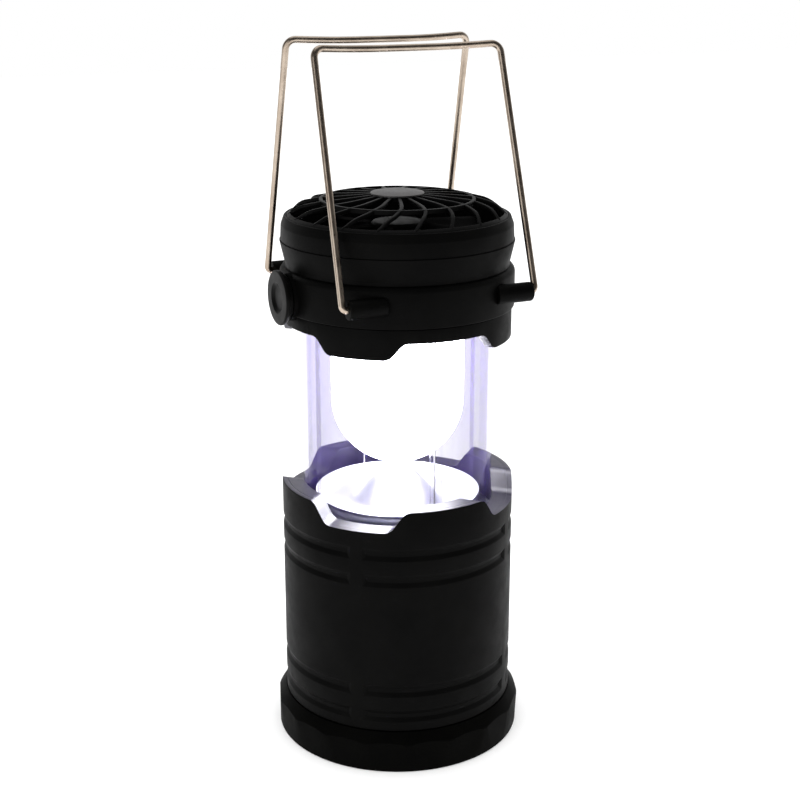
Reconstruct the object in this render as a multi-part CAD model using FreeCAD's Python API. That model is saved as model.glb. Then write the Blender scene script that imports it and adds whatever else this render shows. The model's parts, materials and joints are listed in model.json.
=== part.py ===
import FreeCAD, Part
import math
import os

# Collapsible camping lantern with a fan in its head.
# Millimetres. +Z is up and the origin is the middle of the underside.
# X runs along the handle hinges, the control knob is on the -X side.

Vector = FreeCAD.Vector

# ---- Clearances ----
bond_gap = 0.05          # curved faces that are bonded or pressed together
running_gap = 0.05       # a shaft in its bore, on the radius
sliding_gap = 0.4        # faces that slide or turn past each other
seam_gap = 0.3           # the open line between two housings
hole_end_gap = 0.4       # past the end of a screw or a pin in its hole
overcut = 1.0            # how far a cutter runs past what it cuts

# ---- Roundings used all over ----
edge_round = 0.4
fine_round = 0.2

# ---- Overall sizes ----
body_radius = 43.0       # outside of the base shell
base_height = 100.0      # top of the castellated rim
corner_angles = (45, 135, 225, 315)
side_angles = (0, 90, 180, 270)

# ---- Battery cap and its twist lock ----
cap_height = 14.9
cap_floor = 2.0
cap_foot_stand = 3.0     # how far the cap stands out from the shell
cap_shoulder_stand = 3.5
cap_top_stand = 0.3
cap_shoulder_height = 11.0
cap_sides = 18
cap_edge_flat = 0.15     # takes the sharpness off the facets' edges
cap_foot_round = 0.6
cap_shoulder_round = 1.0
gasket_thickness = 1.6
gasket_width = 2.8
gasket_round = 0.6
lock_lugs = 3
lock_turn = 45.0         # turn from locked to open
lug_half_angle = 6.0
lug_height = 1.6
lug_reach = 1.2
lug_level = 8.0
lug_play_angle = 1.0

# ---- Base shell ----
shell_wall = 2.8
rim_skin = 2.0           # wall outside the guide collar
spigot_inset = 1.5
spigot_wall = 4.3
groove_width = 4.6
groove_floor_width = 2.6
groove_depth = 0.8
groove_gap_angle = 6.0   # plain strip between the groove's quarters
upper_groove_drops = (16.0, 26.0)    # below the rim
lower_groove_rises = (6.1, 16.1)     # above the cap

# ---- Guide collar and castellations ----
rim_width = 7.6          # from the outside of the shell to the collar's bore
collar_height = 14.0
collar_seat = 10.0       # part of the collar in the widened rim
notch_depth = 7.6
notch_bottom_half = 12.2
notch_top_half = 17.4
castle_round = 4.0

# ---- Battery tray ----
cell_radius = 7.25
cell_length = 50.5
cell_count = 3
cell_spacing = 14.8
nub_radius = 2.75
nub_length = 1.0
tray_roof = 1.5
tray_wall = 1.2
contact_room = 1.6       # each end of the cells, on the average
contact_thickness = 0.4
contact_width = 8.0
spring_width = 4.8
spring_bend = 1.0
screw_shank_radius = 0.9
screw_head_radius = 1.5
screw_head_height = 1.0
tray_screw_length = 7.6
tray_screw_offset = 1.0  # screw circle outside the spigot's bore

# ---- Clear chamber and its foot ----
chamber_wall = 1.8
rib_half_width = 2.2
rib_depth = 1.7
foot_height = 5.1
foot_floor = 1.5
foot_landing = 0.5       # left under the foot when the head is down
pillar_radius = 22.0
pillar_wall = 2.0
strip_half_width = 0.2
strip_thickness = 0.5
rail_half_angle = 3.0
rail_thickness = 0.4
slider_half_angle = 2.4
slider_margin = 1.0
slider_depth = 1.8
contact_play_angle = 0.2

# ---- Reflector ----
reflector_rise = 8.0     # its floor above the foot's underside
reflector_sheet = 1.2
reflector_cone_height = 13.0
reflector_peak_radius = 6.0
reflector_peak_drop = 1.2
reflector_peak_round = 6.0
reflector_cone_radius = 17.0
reflector_cone_round = 5.0
reflector_lip = 4.5
reflector_lip_round = 3.0

# ---- Lamp ----
diffuser_radius = 24.3
diffuser_wall = 1.5
diffuser_gap = 2.95      # from the reflector's peak to its rounded end
diffuser_flange = 1.2
heat_plate_radius = 21.0
heat_plate_thickness = 1.0
board_radius = 20.0
board_thickness = 1.4
chip_count = 12
chip_circle = 14.0
chip_size = 2.8
chip_height = 0.7

# ---- Head collar ----
closing_gap = 0.4        # left between head and base when closed
head_inset = 0.7         # head ring inside the line of the shell
boss_round = 0.5
skirt_inset = 0.9        # skirt inside the head ring
skirt_height = 5.1
ring_height = 14.5
ring_wall = 3.5
shoulder_round = 2.2
tab_depth = 5.9
tab_bottom_half = 11.4
tab_root_half = 16.2
lug_width = 7.0
lug_length = 5.3
screw_lug_height = 5.0

# ---- Deck between lamp and fan ----
deck_rise = 4.6          # above the skirt's edge
deck_thickness = 3.0
slot_count = 8
slot_half_angle = 14.0
slot_inner_inset = 2.8
slot_outer_inset = 1.1
deck_screw_inset = 1.9
deck_screw_length = 5.6

# ---- Fan housing ----
neck_inset = 2.6         # waist above the head ring
bezel_inset = 1.1
shroud_lip_stand = 0.4   # shroud stands out under the bezel
shroud_height = 9.4
shroud_wall = 2.1
shroud_spigot = 3.5
shroud_spigot_wall = 1.6
shroud_ledge = 1.5
tongue_height = 2.0
tongue_wall = 1.15
bezel_height = 8.4
bezel_taper = 0.3
bezel_shoulder_drop = 3.0
bezel_shoulder_round = 2.0
bezel_top_inset = 2.5
bezel_lip = 1.0

# ---- Fan guard ----
guard_sheet = 1.6
guard_rim_width = 1.4
guard_ring_radius = 27.2
guard_ring_width = 1.3
guard_ring_rise = 5.8    # above the bezel's top
guard_crown_rise = 7.2
guard_flank_inset = 4.6  # turn of the dome between the ring and the rim
guard_flank_rise = 4.0
guard_bend = 9.0
guard_hub_radius = 9.2
spoke_count = 19
spoke_width = 1.3
spoke_start_angle = -91.5
spoke_bend_radius = 26.2
spoke_bend_angle = -2.4
spoke_sweep_angle = -16.0
hub_cap_radius = 9.6
hub_cap_thickness = 1.3
hub_cap_edge = 0.5
hub_cap_flat_radius = 5.5
hub_cap_round = 18.0

# ---- Motor and fan ----
motor_radius = 9.5
motor_height = 10.5
motor_round = 0.8
motor_nose_radius = 3.0
motor_nose_height = 0.8
cradle_floor = 1.5
cradle_wall = 2.0
cradle_height = 8.0
cradle_flange = 4.6
cradle_screw_count = 3
cradle_screw_length = 3.5
shaft_radius = 1.0
shaft_in_motor = 7.5
shaft_cover = 3.0        # fan hub above the shaft's end
fan_lift = 0.9           # above the shroud's ledge
fan_hub_radius = 9.5
fan_hub_height = 13.0
fan_hub_wall = 1.5
fan_hub_boss = 3.0
fan_hub_boss_lift = 1.0
fan_hub_round = 1.2
fan_tip_gap = 1.3
blade_count = 7
blade_chord = 19.0
blade_pitch = 36.0
blade_thickness = 1.5
blade_margin = 0.4       # blades inside the hub's height

# ---- Control knob and dimmer ----
knob_rise = 6.0          # above the lower edge of the head ring
knob_seat_stand = 0.7
knob_seat_radius = 8.4
knob_neck_radius = 8.3
knob_neck_length = 1.6
knob_flange_radius = 9.7
knob_flange_length = 1.5
knob_dish_radius = 5.5
knob_dish_slope = 1.5
knob_dish_depth = 1.0
knob_shaft_radius = 1.95
knob_bore_gap = 0.45
dimmer_depth = 9.0
dimmer_width = 11.0
dimmer_height = 8.0
dimmer_stand_off = 0.9
dimmer_bore_depth = 7.4

# ---- Wire handles ----
wire_radius = 1.2
handle_length = 87.3     # hinge to top bar
pivot_inset = 6.6        # hinge inside the head ring, across
pivot_rise = 8.0         # above the lower edge of the head ring
boss_radius = 3.4
boss_tip_inset = 7.5
boss_root = 12.0
stub_length = 8.0
leg_gap = 0.6            # leg clear of the boss's end
leg_taper = 1.6          # legs lean in towards the bar
front_lean = 17.5        # how far each handle leans in at rest, in degrees
back_lean = 13.5
bar_bow = 3.0
bar_bow_place = 17.5
bar_bow_round = 110.0
bar_corner = 3.4

# ---- Sizes that follow ----
bore_radius = body_radius - shell_wall
rim_bore = body_radius - rim_skin
spigot_radius = body_radius - spigot_inset
spigot_bore = spigot_radius - spigot_wall
tray_screw_circle = spigot_bore + tray_screw_offset
spigot_bottom = cap_floor + gasket_thickness + sliding_gap
shell_bottom = cap_height + seam_gap
cell_top = spigot_bottom + 2 * cell_radius - bond_gap
tray_ledge = cell_top + 2 * bond_gap
tray_top = tray_ledge + tray_roof
collar_bore = body_radius - rim_width
chamber_radius = collar_bore - sliding_gap
chamber_bore = chamber_radius - chamber_wall
rib_face = chamber_bore - rib_depth
travel = base_height - collar_height - sliding_gap - foot_height - foot_landing - tray_top
foot_bottom = tray_top + foot_landing + travel
foot_top = foot_bottom + foot_height
collar_bottom = base_height - collar_height
collar_ledge = base_height - collar_seat
foot_radius = bore_radius - sliding_gap
skirt_edge = base_height + travel + closing_gap
tab_bottom = skirt_edge - tab_depth
ring_bottom = skirt_edge + skirt_height
ring_top = ring_bottom + ring_height
head_radius = body_radius - head_inset
skirt_radius = head_radius - skirt_inset
head_bore = head_radius - ring_wall
deck_bottom = skirt_edge + deck_rise
deck_top = deck_bottom + deck_thickness
reflector_floor = foot_bottom + reflector_rise
diffuser_bottom = reflector_floor + reflector_sheet + reflector_cone_height + diffuser_gap
deck_screw_circle = head_bore - deck_screw_inset
cradle_screw_circle = motor_radius + cradle_wall + cradle_flange / 2
neck_radius = body_radius - neck_inset
bezel_radius = body_radius - bezel_inset
shroud_bore = neck_radius - shroud_wall
shroud_top = ring_top + shroud_height
bezel_top = shroud_top + bezel_height
bezel_top_radius = body_radius - bezel_top_inset
guard_seat_radius = bezel_top_radius - bezel_lip
guard_radius = guard_seat_radius - bond_gap
guard_crown = bezel_top + guard_crown_rise
fan_bottom = ring_top + shroud_ledge + fan_lift
motor_bottom = deck_top + cradle_floor
motor_top = motor_bottom + motor_height
knob_height = ring_bottom + knob_rise
knob_seat = head_radius + knob_seat_stand
pivot_height = ring_bottom + pivot_rise
pivot_offset = head_radius - pivot_inset
boss_tip = head_radius - boss_tip_inset


def rounded_path(corners, radii, closed):
    """Straight runs through the corners, joined by tangent arcs."""
    count = len(corners)
    bends = []
    for i, here in enumerate(corners):
        if radii[i] == 0:
            bends.append((here, None, here))
            continue
        back = (corners[i - 1] - here).normalize()
        ahead = (corners[(i + 1) % count] - here).normalize()
        half = back.getAngle(ahead) / 2
        bisector = (back + ahead).normalize()
        reach = radii[i] / math.tan(half)
        middle = here + bisector * (radii[i] / math.sin(half) - radii[i])
        bends.append((here + back * reach, middle, here + ahead * reach))
    edges = []
    for i, (start, middle, end) in enumerate(bends):
        if middle is not None:
            edges.append(Part.Arc(start, middle, end).toShape())
        if i == count - 1 and not closed:
            break
        following = bends[(i + 1) % count][0]
        if end.distanceToPoint(following) > 1e-6:
            edges.append(Part.LineSegment(end, following).toShape())
    return Part.Wire(edges)


def outline(points):
    """Flat face standing in the XZ plane; a third number rounds its corner."""
    corners = [Vector(point[0], 0, point[1]) for point in points]
    radii = [point[2] if len(point) > 2 else 0 for point in points]
    return Part.Face(rounded_path(corners, radii, True))


def outward(shape):
    """The same solid with its faces pointing out."""
    return shape if shape.Volume > 0 else shape.reversed()


def turned(points, angle=360.0):
    """Solid of revolution about Z from (radius, height) points."""
    return outward(outline(points).revolve(Vector(0, 0, 0), Vector(0, 0, 1), angle))


def disc(radius, low, high, x=0.0, y=0.0):
    return Part.makeCylinder(radius, high - low, Vector(x, y, low))


def ring(inner, outer, low, high):
    return turned([(inner, low), (outer, low), (outer, high), (inner, high)])


def ring_sector(inner, outer, low, high, middle, half_angle):
    """Part of a ring, centred on an angle about Z."""
    points = [(inner, low), (outer, low), (outer, high), (inner, high)]
    return spun(turned(points, 2 * half_angle), middle - half_angle)


def block(x_low, x_high, y_low, y_high, z_low, z_high):
    corner = Vector(x_low, y_low, z_low)
    return Part.makeBox(x_high - x_low, y_high - y_low, z_high - z_low, corner)


def spun(shape, angle):
    """A copy turned about the Z axis."""
    copy = shape.copy()
    copy.rotate(Vector(0, 0, 0), Vector(0, 0, 1), angle)
    return copy


def around(shape, angles):
    return [spun(shape, angle) for angle in angles]


def even_angles(count, start=0.0):
    return [start + 360.0 * i / count for i in range(count)]


def polygon_corners(count, corner_radius, level):
    """Corners of a level regular polygon, with none on the X or Y axis."""
    corners = []
    for angle in even_angles(count, 180.0 / count):
        turn = math.radians(angle)
        corners.append(Vector(corner_radius * math.cos(turn), corner_radius * math.sin(turn), level))
    return corners


def faceted_taper(lower, upper):
    """Solid between two level polygons with flat sides."""
    count = len(lower)
    faces = [Part.Face(Part.makePolygon(loop + loop[:1])) for loop in (lower, upper)]
    for i in range(count):
        after = (i + 1) % count
        side = [lower[i], lower[after], upper[after], upper[i], lower[i]]
        faces.append(Part.Face(Part.makePolygon(side)))
    return outward(Part.Solid(Part.makeShell(faces)))


def radial_prism(points, reach):
    """A profile of (sideways, height) points, pushed out along +X from the axis."""
    prism = outward(outline(points).extrude(Vector(0, reach, 0)))
    return spun(prism, -90)


def screw(radius_out, angle, head_low, length, head_up):
    """Pan-head screw with an upright axis; head_up puts the head on top."""
    head = disc(screw_head_radius, head_low, head_low + screw_head_height, radius_out)
    if head_up:
        shank = disc(screw_shank_radius, head_low - length, head_low, radius_out)
    else:
        start = head_low + screw_head_height
        shank = disc(screw_shank_radius, start, start + length, radius_out)
    return spun(head.fuse(shank).removeSplitter(), angle)


def write(name, shapes):
    """One node: a single solid, or several separate ones."""
    solids = []
    for shape in shapes:
        solids.extend(shape.Solids)
    body = solids[0] if len(solids) == 1 else Part.makeCompound(solids)
    body.exportStep("parts/" + name + ".step")


# ---- Base ----

def notch_cutter():
    """Opening between two castellations, with a rounded floor and shoulders."""
    floor = base_height - notch_depth
    above = base_height + castle_round
    wide = notch_top_half + 2 * castle_round
    return radial_prism([
        (-notch_bottom_half, floor, castle_round), (notch_bottom_half, floor, castle_round),
        (notch_top_half, base_height, castle_round), (wide, base_height),
        (wide, above), (-wide, above),
        (-wide, base_height), (-notch_top_half, base_height, castle_round),
    ], body_radius + cap_shoulder_stand)


def make_base_shell():
    shell = turned([
        (spigot_bore, spigot_bottom), (spigot_radius, spigot_bottom),
        (spigot_radius, shell_bottom), (body_radius, shell_bottom),
        (body_radius, base_height, edge_round), (rim_bore, base_height),
        (rim_bore, collar_ledge), (bore_radius, collar_ledge),
        (bore_radius, tray_ledge), (spigot_bore, tray_ledge),
    ])
    shell = spun(shell, corner_angles[0])
    cutters = around(notch_cutter(), corner_angles)
    outside = body_radius + groove_depth
    half = groove_width / 2
    floor_half = groove_floor_width / 2
    levels = [base_height - drop for drop in upper_groove_drops]
    levels += [cap_height + rise for rise in lower_groove_rises]
    quarter = 90 - groove_gap_angle
    for level in levels:
        groove = turned([
            (body_radius - groove_depth, level - floor_half), (outside, level - half),
            (outside, level + half), (body_radius - groove_depth, level + floor_half),
        ], quarter)
        cutters += around(spun(groove, -quarter / 2), side_angles)
    slot_floor = spigot_radius - lug_reach - sliding_gap / 2
    slot_top = lug_level + lug_height + sliding_gap
    margin = lug_half_angle + lug_play_angle
    run_half = margin + lock_turn / 2
    for angle in even_angles(lock_lugs):
        cutters.append(ring_sector(slot_floor, spigot_radius + overcut, lug_level - sliding_gap,
                                   slot_top, angle + lock_turn / 2, run_half))
        cutters.append(ring_sector(slot_floor, spigot_radius + overcut, spigot_bottom - overcut,
                                   slot_top, angle + lock_turn, margin))
    for angle in (90, 270):
        cutters.append(ring_sector(bore_radius - overcut, bore_radius + rail_thickness + bond_gap,
                                   tray_top, collar_bottom, angle,
                                   rail_half_angle + contact_play_angle))
    for angle in corner_angles:
        hole = disc(screw_shank_radius, tray_ledge - tray_screw_length - hole_end_gap, tray_ledge,
                    tray_screw_circle)
        cutters.append(spun(hole, angle))
    shell = shell.cut(cutters)
    levels.sort()
    limits = [spigot_bottom - overcut, shell_bottom + seam_gap]
    limits += [(low + high) / 2 for low, high in zip(levels[:-1], levels[1:])]
    limits.append(base_height + overcut)
    bands = [shell.common(disc(body_radius + overcut, low, high))
             for low, high in zip(limits[:-1], limits[1:])]
    write("base_shell", [bands[0].fuse(bands[1:])])


def make_guide_collar():
    outer = rim_bore - bond_gap
    collar = turned([
        (collar_bore, collar_bottom, edge_round), (bore_radius - bond_gap, collar_bottom),
        (bore_radius - bond_gap, collar_ledge), (outer, collar_ledge),
        (outer, base_height), (collar_bore, base_height, edge_round),
    ])
    write("guide_collar", [collar.cut(around(notch_cutter(), corner_angles))])


def make_base_cap():
    inner = spigot_radius + sliding_gap
    body = turned([
        (0, 0), (body_radius + cap_foot_stand, 0, cap_foot_round),
        (body_radius + cap_shoulder_stand, cap_shoulder_height, cap_shoulder_round),
        (body_radius + cap_top_stand, cap_height, fine_round), (inner, cap_height),
        (inner, cap_floor), (0, cap_floor),
    ])
    slope = (cap_shoulder_stand - cap_foot_stand) / cap_shoulder_height
    rings = []
    for level in (-overcut, cap_height + overcut):
        corner_radius = body_radius + cap_foot_stand + slope * level + cap_edge_flat
        rings.append(polygon_corners(cap_sides, corner_radius, level))
    facets = faceted_taper(*rings)
    body = body.common(facets)
    lug = ring_sector(spigot_radius - lug_reach, inner + bond_gap, lug_level,
                      lug_level + lug_height, 0, lug_half_angle)
    write("base_cap", [body.fuse(around(lug, even_angles(lock_lugs))).removeSplitter()])
    outer = spigot_radius - bond_gap
    gasket = turned([
        (outer - gasket_width, cap_floor, edge_round), (outer, cap_floor, edge_round),
        (outer, cap_floor + gasket_thickness, gasket_round),
        (outer - gasket_width, cap_floor + gasket_thickness, gasket_round),
    ])
    write("cap_gasket", [gasket])


def make_battery_tray():
    """Open below, so that the cells come out when the cap is off."""
    half_length = cell_length / 2 + contact_room
    half_width = cell_spacing * (cell_count - 1) / 2 + cell_radius + 2 * bond_gap
    frame = block(-half_length - tray_wall, half_length + tray_wall,
                  -half_width - tray_wall, half_width + tray_wall, spigot_bottom, tray_ledge)
    frame = frame.cut(block(-half_length, half_length, -half_width, half_width,
                            spigot_bottom - overcut, tray_ledge))
    roof = disc(bore_radius - bond_gap, tray_ledge, tray_top)
    head_low = tray_top - screw_head_height
    holes = []
    for angle in corner_angles:
        holes.append(spun(disc(screw_head_radius, head_low, tray_top, tray_screw_circle), angle))
        holes.append(spun(disc(screw_shank_radius, tray_ledge, tray_top, tray_screw_circle), angle))
    write("battery_tray", [roof.fuse(frame).cut(holes).removeSplitter()])
    write("tray_screws", [screw(tray_screw_circle, angle, head_low, tray_screw_length, True)
                          for angle in corner_angles])

    cells = []
    springs = []
    plates = []
    middle = spigot_bottom + cell_radius - bond_gap
    for i in range(cell_count):
        y = (i - (cell_count - 1) / 2) * cell_spacing
        facing = 1 if i % 2 == 0 else -1
        tip_x = half_length - contact_thickness - bond_gap
        start = Vector(facing * (tip_x - cell_length), y, middle)
        along = Vector(facing, 0, 0)
        can = Part.makeCylinder(cell_radius, cell_length - nub_length, start, along)
        tip = start + along * (cell_length - nub_length)
        nub = Part.makeCylinder(nub_radius, nub_length, tip, along)
        cells.append(can.fuse(nub).removeSplitter())
        plate_face = facing * half_length
        near = plate_face - facing * contact_thickness
        plates.append(block(min(near, plate_face), max(near, plate_face),
                            y - contact_width / 2, y + contact_width / 2,
                            middle - contact_width / 2, middle + contact_width / 2))
        springs.append(leaf_spring(-facing * half_length, facing, y, middle))
    write("battery_cells", cells)
    write("contact_plates", plates)
    write("contact_springs", springs)


def leaf_spring(wall_x, facing, y, middle):
    """Bent strip that pushes a cell along; its bulge touches the cell's end."""
    low = middle - contact_width / 2
    high = middle + contact_width / 2
    crown = 2 * contact_room - contact_thickness
    bulge = crown - contact_thickness
    strip = outline([
        (0, low), (contact_thickness, low), (crown, middle, spring_bend),
        (contact_thickness, high), (0, high), (bulge, middle, spring_bend),
    ]).extrude(Vector(0, spring_width, 0))
    strip = outward(strip)
    if facing < 0:
        strip = strip.mirror(Vector(0, 0, 0), Vector(1, 0, 0))
    strip.translate(Vector(wall_x, y - spring_width / 2, 0))
    return strip


def make_contact_rails():
    rail = ring_sector(bore_radius, bore_radius + rail_thickness, tray_top, collar_bottom,
                       0, rail_half_angle)
    write("contact_rails", around(rail, (90, 270)))


# ---- Chamber, foot and lamp ----

def make_chamber():
    low = foot_bottom + foot_floor
    tube = ring(chamber_bore, chamber_radius, low, deck_bottom)
    rib = block(rib_face, chamber_bore + chamber_wall / 2,
                -rib_half_width, rib_half_width, low, deck_bottom)
    write("clear_chamber", [tube.fuse(around(rib, side_angles)).removeSplitter()])
    strip = block(rib_face - strip_thickness, rib_face, -strip_half_width, strip_half_width,
                  low, deck_bottom)
    write("contact_strips", around(strip, (90, 270)))


def make_chamber_foot():
    inner = chamber_radius + bond_gap
    floor = foot_bottom + foot_floor
    foot = turned([
        (0, foot_bottom), (foot_radius, foot_bottom, edge_round), (foot_radius, foot_top, edge_round),
        (inner, foot_top), (inner, floor), (pillar_radius, floor),
        (pillar_radius, reflector_floor),
        (pillar_radius - pillar_wall, reflector_floor),
        (pillar_radius - pillar_wall, floor), (0, floor),
    ])
    low = foot_bottom + slider_margin
    high = foot_top - slider_margin
    seat = foot_radius - slider_depth
    pocket = ring_sector(seat, foot_radius + overcut, low, high, 0,
                         slider_half_angle + contact_play_angle)
    write("chamber_foot", [foot.cut(around(pocket, (90, 270)))])
    slider = ring_sector(seat + bond_gap, bore_radius - 2 * running_gap, low + bond_gap,
                         high - bond_gap, 0, slider_half_angle)
    write("contact_sliders", around(slider, (90, 270)))


def make_reflector():
    """Polished dish with a raised middle that throws the light sideways."""
    rim = rib_face - strip_thickness - sliding_gap
    shoulder = reflector_cone_height - reflector_peak_drop
    top = [
        (0, reflector_cone_height), (reflector_peak_radius, shoulder, reflector_peak_round),
        (reflector_cone_radius, 0, reflector_cone_round),
        (rim - reflector_lip, 0, reflector_lip_round), (rim, reflector_lip),
    ]
    upper = [(point[0], reflector_floor + reflector_sheet + point[1]) + point[2:] for point in top]
    lower = [(point[0], reflector_floor + point[1]) + point[2:] for point in reversed(top)]
    write("reflector", [turned(upper + lower)])


def make_lamp():
    plate_low = deck_bottom - heat_plate_thickness
    board_low = plate_low - board_thickness
    write("heat_plate", [disc(heat_plate_radius, plate_low, deck_bottom)])
    write("led_board", [disc(board_radius, board_low, plate_low)])
    half = chip_size / 2
    chip = block(chip_circle - half, chip_circle + half, -half, half,
                 board_low - chip_height, board_low)
    write("led_chips", around(chip, even_angles(chip_count)))
    inner = diffuser_radius - diffuser_wall
    flange = diffuser_radius + diffuser_flange
    bulb = turned([
        (0, diffuser_bottom), (diffuser_radius, diffuser_bottom, diffuser_radius),
        (diffuser_radius, deck_bottom - diffuser_flange), (flange, deck_bottom - diffuser_flange),
        (flange, deck_bottom), (inner, deck_bottom),
        (inner, diffuser_bottom + diffuser_wall, inner), (0, diffuser_bottom + diffuser_wall),
    ])
    write("diffuser", [bulb])


# ---- Head ----

def make_skirt():
    """Castellated skirt whose four tabs drop into the notches of the base."""
    quarter = skirt_radius * math.sin(math.radians(45))
    above = skirt_edge + castle_round
    tab = radial_prism([
        (-tab_bottom_half, tab_bottom, castle_round), (tab_bottom_half, tab_bottom, castle_round),
        (tab_root_half, skirt_edge, castle_round), (quarter, skirt_edge),
        (quarter, above), (-quarter, above),
        (-quarter, skirt_edge), (-tab_root_half, skirt_edge, castle_round),
    ], skirt_radius + overcut)
    tabs = around(tab, corner_angles)
    return ring(head_bore, skirt_radius, tab_bottom, above).common(tabs[0].fuse(tabs[1:]))


def make_head_collar():
    ring_body = turned([
        (head_bore, skirt_edge + castle_round), (skirt_radius, skirt_edge + castle_round),
        (skirt_radius, ring_bottom), (head_radius, ring_bottom, edge_round),
        (head_radius, ring_top, shoulder_round), (head_bore, ring_top),
    ])
    bosses = []
    for side_x in (-1, 1):
        for side_y in (-1, 1):
            start = Vector(side_x * boss_root, side_y * pivot_offset, pivot_height)
            boss = Part.makeCylinder(boss_radius, boss_tip - boss_root, start,
                                     Vector(side_x, 0, 0))
            tip_edges = [edge for edge in boss.Edges
                         if abs(edge.CenterOfMass.x - side_x * boss_tip) < 0.01]
            bosses.append(boss.makeFillet(boss_round, tip_edges))
    seat = Part.makeCylinder(knob_seat_radius, knob_seat - head_bore + ring_wall,
                             Vector(-knob_seat, 0, knob_height), Vector(1, 0, 0))
    body = ring_body.fuse([make_skirt(), seat] + bosses)
    body = body.cut(disc(head_bore, tab_bottom - overcut, ring_top + overcut))
    lug = block(head_bore - lug_length, head_bore + ring_wall / 2, -lug_width / 2, lug_width / 2,
                deck_top, deck_top + screw_lug_height)
    body = body.fuse(around(lug, corner_angles))
    cutters = []
    hole_top = deck_bottom + screw_head_height + deck_screw_length + hole_end_gap
    for angle in corner_angles:
        cutters.append(spun(disc(screw_shank_radius, deck_top, hole_top, deck_screw_circle), angle))
    for side_x in (-1, 1):
        for side_y in (-1, 1):
            start = Vector(side_x * (boss_tip - stub_length - hole_end_gap), side_y * pivot_offset,
                           pivot_height)
            cutters.append(Part.makeCylinder(wire_radius + running_gap, stub_length + overcut, start,
                                             Vector(side_x, 0, 0)))
    cutters.append(Part.makeCylinder(knob_shaft_radius + knob_bore_gap, 2 * ring_wall + overcut,
                                     Vector(-knob_seat - overcut, 0, knob_height), Vector(1, 0, 0)))
    write("head_collar", [body.cut(cutters).removeSplitter()])


def make_deck():
    outer = head_bore - bond_gap
    deck = disc(outer, deck_bottom, deck_top)
    cutters = []
    slot_step = 180.0 / slot_count
    for angle in even_angles(slot_count, slot_step):
        cutters.append(ring_sector(head_bore - slot_inner_inset, head_bore - slot_outer_inset,
                                   deck_bottom - overcut, deck_top + overcut, angle,
                                   slot_half_angle))
    screws = []
    for angle in corner_angles:
        cutters.append(spun(disc(screw_head_radius, deck_bottom, deck_bottom + screw_head_height,
                                 deck_screw_circle), angle))
        cutters.append(spun(disc(screw_shank_radius, deck_bottom, deck_top, deck_screw_circle), angle))
        screws.append(screw(deck_screw_circle, angle, deck_bottom, deck_screw_length, False))
    hole_bottom = motor_bottom - cradle_screw_length - hole_end_gap
    for angle in even_angles(cradle_screw_count):
        cutters.append(spun(disc(screw_shank_radius, hole_bottom, deck_top, cradle_screw_circle), angle))
    write("deck", [deck.cut(cutters)])
    write("deck_screws", screws)


def make_fan_housing():
    spigot_outer = head_bore - bond_gap
    tongue_radius = shroud_bore + tongue_wall
    shroud = turned([
        (spigot_outer - shroud_spigot_wall, ring_top - shroud_spigot),
        (spigot_outer, ring_top - shroud_spigot), (spigot_outer, ring_top),
        (neck_radius, ring_top), (bezel_radius + shroud_lip_stand, shroud_top, fine_round),
        (tongue_radius + bond_gap, shroud_top),
        (tongue_radius + bond_gap, shroud_top - tongue_height),
        (shroud_bore, shroud_top - tongue_height), (shroud_bore, ring_top + shroud_ledge),
        (spigot_outer - shroud_spigot_wall, ring_top + shroud_ledge),
    ])
    write("fan_shroud", [shroud])
    bezel = turned([
        (shroud_bore, shroud_top - tongue_height), (tongue_radius, shroud_top - tongue_height),
        (tongue_radius, shroud_top), (bezel_radius, shroud_top, fine_round),
        (bezel_radius - bezel_taper, bezel_top - bezel_shoulder_drop, bezel_shoulder_round),
        (bezel_top_radius, bezel_top, edge_round),
        (guard_seat_radius, bezel_top), (guard_seat_radius, bezel_top - tongue_height),
        (shroud_bore, bezel_top - tongue_height),
    ])
    write("guard_bezel", [bezel])


def polar(radius, angle):
    turn = math.radians(angle)
    return Vector(radius * math.cos(turn), radius * math.sin(turn), 0)


def make_guard():
    top = [
        (0, guard_crown), (guard_hub_radius, guard_crown),
        (guard_ring_radius, bezel_top + guard_ring_rise, guard_bend),
        (guard_radius - guard_flank_inset, bezel_top + guard_flank_rise, guard_bend),
        (guard_radius, bezel_top),
    ]
    under = [(point[0], point[1] - guard_sheet) + point[2:] for point in reversed(top)]
    dome = turned(top + under)

    low = bezel_top - tongue_height
    high = guard_crown + overcut
    line = [polar(guard_hub_radius - spoke_width, 0), polar(spoke_bend_radius, spoke_bend_angle),
            polar(guard_radius - guard_rim_width / 2, spoke_sweep_angle)]
    centre = Part.Arc(*line).toShape().Curve.Center
    sides = []
    for shift in (-spoke_width / 2, spoke_width / 2):
        sides.append([point + (point - centre).normalize() * shift for point in line])
    near, far = sides
    band = Part.Wire([
        Part.Arc(*near).toShape(), Part.LineSegment(near[2], far[2]).toShape(),
        Part.Arc(far[2], far[1], far[0]).toShape(), Part.LineSegment(far[0], near[0]).toShape(),
    ])
    spoke = outward(Part.Face(band).extrude(Vector(0, 0, high - low)))
    spoke.translate(Vector(0, 0, low))
    members = around(spoke, even_angles(spoke_count, spoke_start_angle))
    members.append(disc(guard_hub_radius, low, high))
    members.append(ring(guard_ring_radius - guard_ring_width / 2,
                        guard_ring_radius + guard_ring_width / 2, low, high))
    members.append(ring(guard_radius - guard_rim_width, guard_radius, low, high))
    pieces = [dome.common(member) for member in members]
    pieces.append(ring(guard_radius - guard_rim_width, guard_radius, low,
                       bezel_top - guard_sheet / 2))
    write("fan_guard", [pieces[0].fuse(pieces[1:])])

    top = guard_crown + hub_cap_thickness
    cap = turned([
        (0, guard_crown), (hub_cap_radius, guard_crown),
        (hub_cap_radius, guard_crown + hub_cap_edge, fine_round),
        (hub_cap_flat_radius, top, hub_cap_round), (0, top),
    ])
    write("hub_cap", [cap])


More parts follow.
